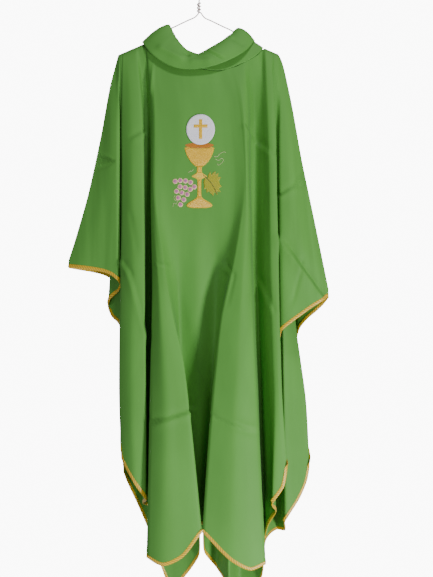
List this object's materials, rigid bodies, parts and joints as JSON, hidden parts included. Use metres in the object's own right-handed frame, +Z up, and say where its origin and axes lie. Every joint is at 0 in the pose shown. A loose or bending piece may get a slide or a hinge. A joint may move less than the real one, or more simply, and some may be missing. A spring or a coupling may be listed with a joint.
{
  "type": "chasuble on a wire hanger",
  "caption": "Gothic chasuble in plain cloth with a roll collar, gold hem binding and an embroidered chalice, hanging in folds on a wire clothes hanger.",
  "frame": {"origin": "the seat of the hanger's hook on its rail", "axes": "+Z up, +Y towards the wearer's back, +X along the hanger towards the viewer's right when facing the front"},
  "size_m": [0.6571, 0.2763, 1.6024],
  "materials": {
    "cloth": "semi-matte plain weave",
    "binding": "satin",
    "wire": "glossy plastic coat",
    "host": "satin stitch",
    "gold_thread": "satin stitch",
    "cup_mouth": "satin stitch",
    "grape": "satin stitch",
    "leaf": "satin stitch",
    "tendril": "satin stitch"
  },
  "bodies": {
    "hanger": {"hanger_wire": "wire"},
    "garment": {"front_panel": "cloth", "back_panel": "cloth", "front_hem_binding": "binding", "back_hem_binding": "binding", "collar": "cloth", "host": "host", "host_cross": "gold_thread", "chalice_mouth": "cup_mouth", "chalice_bowl": "gold_thread", "chalice_upper_stem": "gold_thread", "chalice_knop": "gold_thread", "chalice_lower_stem": "gold_thread", "chalice_foot": "gold_thread", "grape_01": "grape", "grape_02": "grape", "grape_03": "grape", "grape_04": "grape", "grape_05": "grape", "grape_06": "grape", "grape_07": "grape", "grape_08": "grape", "grape_09": "grape", "grape_10": "grape", "grape_11": "grape", "grape_12": "grape", "grape_13": "grape", "grape_14": "grape", "vine_leaf": "leaf", "leaf_vein": "leaf", "tendril_upper": "tendril", "tendril_middle": "tendril", "tendril_knop": "tendril", "tendril_lower": "tendril"}
  },
  "joints": [
    {"name": "garment_lift", "type": "slide", "parent": "hanger", "child": "garment", "axis": [0, 0, 1], "range_m": [0, 1.65]}
  ]
}
